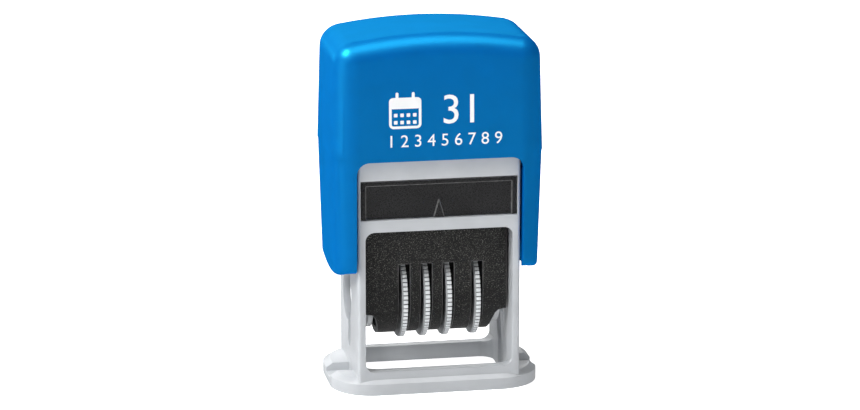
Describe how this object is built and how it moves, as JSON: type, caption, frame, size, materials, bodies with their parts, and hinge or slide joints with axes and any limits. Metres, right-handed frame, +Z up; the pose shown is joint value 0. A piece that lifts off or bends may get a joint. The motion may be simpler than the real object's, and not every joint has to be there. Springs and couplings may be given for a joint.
{
  "type": "self inking stamp",
  "caption": "Self-inking band dater: a press cap slides over a frame with an ink cartridge and turns a date unit with knurled wheels half round onto the paper.",
  "frame": {"origin": "centre of the base ring's underside, on the paper", "axes": "+Z up along the press stroke, +X to the right along the date unit's trunnions, -Y towards the front with the wheels' window"},
  "size_m": [0.0372, 0.0238, 0.0636],
  "materials": {
    "frame_plastic": "satin light grey moulded plastic",
    "cap_plastic": "satin blue moulded plastic",
    "spring_steel": "drawn spring wire",
    "black_plastic": "smooth black moulded plastic",
    "felt": "ink-soaked felt",
    "textured_plastic": "spark-textured black plastic",
    "cheek_plastic": "light grey moulded plastic",
    "axle_steel": "ground steel pin",
    "wheel_plastic": "white moulded plastic, fine knurl",
    "band_rubber": "moulded print rubber"
  },
  "bodies": {
    "frame_body": {"frame": "frame_plastic", "return_spring": "spring_steel"},
    "cartridge": {"pad_tray": "black_plastic", "ink_pad": "felt"},
    "cap_body": {"cap": "cap_plastic"},
    "date_unit": {"front_cover": "textured_plastic", "rear_cover": "textured_plastic", "left_cheek": "cheek_plastic", "right_cheek": "cheek_plastic", "print_bridge": "cheek_plastic", "wheel_axle": "axle_steel", "axle_spacer": "cheek_plastic", "axle_washer": "axle_steel", "day_tens_band": "band_rubber", "day_units_band": "band_rubber", "month_band": "band_rubber", "year_band": "band_rubber"},
    "day_tens": {"day_tens_wheel": "wheel_plastic"},
    "day_units": {"day_units_wheel": "wheel_plastic"},
    "month": {"month_wheel": "wheel_plastic"},
    "year": {"year_wheel": "wheel_plastic"}
  },
  "joints": [
    {"name": "cap_press", "type": "slide", "parent": "frame_body", "child": "cap_body", "axis": [0, 0, -1], "range_m": [0, 0.0165], "stiffness_N_per_m": 160, "springref_m": -0.009, "deforming": ["return_spring"]},
    {"name": "unit_flip", "type": "hinge", "parent": "cap_body", "child": "date_unit", "pos_m": [0, 0, 0.0238], "axis": [-1, 0, 0], "range_deg": [0, 180]},
    {"name": "cartridge_slide", "type": "slide", "parent": "frame_body", "child": "cartridge", "axis": [0, 1, 0], "range_m": [-0.0215, 0]},
    {"name": "day_tens_turn", "type": "hinge", "parent": "date_unit", "child": "day_tens", "pos_m": [-0.0056, 0, 0.0154], "axis": [1, 0, 0], "continuous": true},
    {"name": "day_units_turn", "type": "hinge", "parent": "date_unit", "child": "day_units", "pos_m": [-0.0017, 0, 0.0154], "axis": [1, 0, 0], "continuous": true},
    {"name": "month_turn", "type": "hinge", "parent": "date_unit", "child": "month", "pos_m": [0.0022, 0, 0.0154], "axis": [1, 0, 0], "continuous": true},
    {"name": "year_turn", "type": "hinge", "parent": "date_unit", "child": "year", "pos_m": [0.0073, 0, 0.0154], "axis": [1, 0, 0], "continuous": true}
  ],
  "couplings": [
    {"joint": "unit_flip", "follows": "cap_press", "rad_per_m": 190.4}
  ]
}
